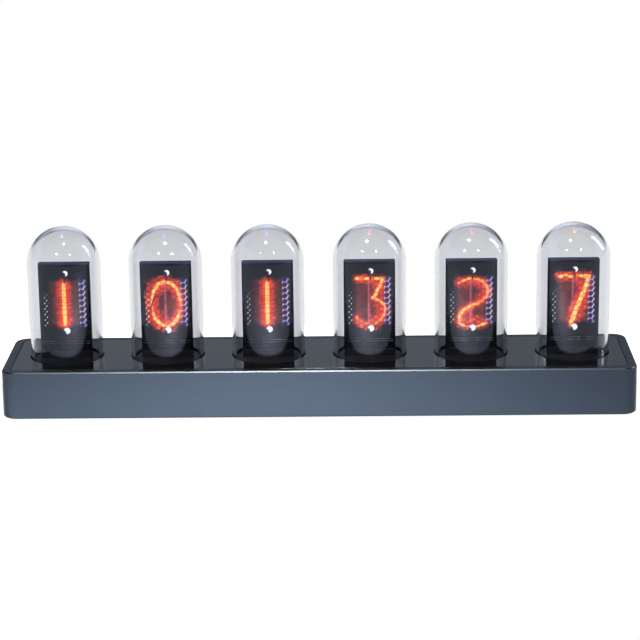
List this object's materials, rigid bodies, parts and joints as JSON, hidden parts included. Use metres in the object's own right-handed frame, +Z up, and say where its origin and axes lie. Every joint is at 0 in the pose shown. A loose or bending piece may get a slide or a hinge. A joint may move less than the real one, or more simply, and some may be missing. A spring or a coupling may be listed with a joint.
{
  "type": "digital desk clock",
  "caption": "Long low metal desk clock with a row of clear glass domes over upright screens that show glowing numerals; buttons and a power inlet in the back.",
  "frame": {"origin": "on the table, under the middle of the clock", "axes": "+X to the viewer's right along the row of domes, +Y to the back, +Z up"},
  "size_m": [0.216, 0.0438, 0.0633],
  "materials": {
    "anodised_case": "satin anodised, blue-grey",
    "gloss_panel": "polished black acrylic",
    "rubber": "matt black",
    "moulded_black": "fine moulded texture",
    "dark_screw": "blackened",
    "bright_steel": "plain",
    "bare_aluminium": "plain",
    "circuit_board": "solder mask on glass-fibre board",
    "light_white": "plain",
    "clear_glass": "clear, fire polished",
    "screen_black": "gloss black screen",
    "button_black": "satin black"
  },
  "bodies": {
    "clock": {"case_frame": "anodised_case", "top_panel": "gloss_panel", "panel_tape": "rubber", "bottom_cover": "moulded_black", "rubber_feet": "rubber", "cover_screws": "dark_screw", "main_board": "circuit_board", "board_screws": "bright_steel", "dome_gaskets": "rubber", "screen_connectors": "moulded_black", "tube_lights": "light_white", "wireless_board": "circuit_board", "wireless_shield": "bright_steel", "coin_cell_holder": "moulded_black", "coin_cell": "bright_steel", "logic_chips": "moulded_black", "voltage_regulator": "moulded_black", "capacitors": "bare_aluminium", "usb_shell": "bright_steel", "usb_tongue": "moulded_black", "switch_bodies": "moulded_black", "dome_socket_1": "moulded_black", "screen_glass_1": "screen_black", "screen_tray_1": "moulded_black", "screen_carrier_1": "circuit_board", "dome_socket_2": "moulded_black", "screen_glass_2": "screen_black", "screen_tray_2": "moulded_black", "screen_carrier_2": "circuit_board", "dome_socket_3": "moulded_black", "screen_glass_3": "screen_black", "screen_tray_3": "moulded_black", "screen_carrier_3": "circuit_board", "dome_socket_4": "moulded_black", "screen_glass_4": "screen_black", "screen_tray_4": "moulded_black", "screen_carrier_4": "circuit_board", "dome_socket_5": "moulded_black", "screen_glass_5": "screen_black", "screen_tray_5": "moulded_black", "screen_carrier_5": "circuit_board", "dome_socket_6": "moulded_black", "screen_glass_6": "screen_black", "screen_tray_6": "moulded_black", "screen_carrier_6": "circuit_board"},
    "dome_1": {"glass_dome_1": "clear_glass"},
    "dome_2": {"glass_dome_2": "clear_glass"},
    "dome_3": {"glass_dome_3": "clear_glass"},
    "dome_4": {"glass_dome_4": "clear_glass"},
    "dome_5": {"glass_dome_5": "clear_glass"},
    "dome_6": {"glass_dome_6": "clear_glass"},
    "power_key": {"power_button": "button_black", "power_plunger": "light_white"},
    "mode_key": {"mode_button": "button_black", "mode_plunger": "light_white"},
    "left_key": {"left_button": "button_black", "left_plunger": "light_white"},
    "right_key": {"right_button": "button_black", "right_plunger": "light_white"}
  },
  "joints": [
    {"name": "dome_1_lift", "type": "slide", "parent": "clock", "child": "dome_1", "axis": [0, 0, 1], "range_m": [0, 0.045]},
    {"name": "dome_2_lift", "type": "slide", "parent": "clock", "child": "dome_2", "axis": [0, 0, 1], "range_m": [0, 0.045]},
    {"name": "dome_3_lift", "type": "slide", "parent": "clock", "child": "dome_3", "axis": [0, 0, 1], "range_m": [0, 0.045]},
    {"name": "dome_4_lift", "type": "slide", "parent": "clock", "child": "dome_4", "axis": [0, 0, 1], "range_m": [0, 0.045]},
    {"name": "dome_5_lift", "type": "slide", "parent": "clock", "child": "dome_5", "axis": [0, 0, 1], "range_m": [0, 0.045]},
    {"name": "dome_6_lift", "type": "slide", "parent": "clock", "child": "dome_6", "axis": [0, 0, 1], "range_m": [0, 0.045]},
    {"name": "power_press", "type": "slide", "parent": "clock", "child": "power_key", "axis": [0, -1, 0], "range_m": [0, 0.0005], "stiffness_N_per_m": 1600},
    {"name": "mode_press", "type": "slide", "parent": "clock", "child": "mode_key", "axis": [0, -1, 0], "range_m": [0, 0.0005], "stiffness_N_per_m": 1600},
    {"name": "left_press", "type": "slide", "parent": "clock", "child": "left_key", "axis": [0, -1, 0], "range_m": [0, 0.0005], "stiffness_N_per_m": 1600},
    {"name": "right_press", "type": "slide", "parent": "clock", "child": "right_key", "axis": [0, -1, 0], "range_m": [0, 0.0005], "stiffness_N_per_m": 1600}
  ]
}
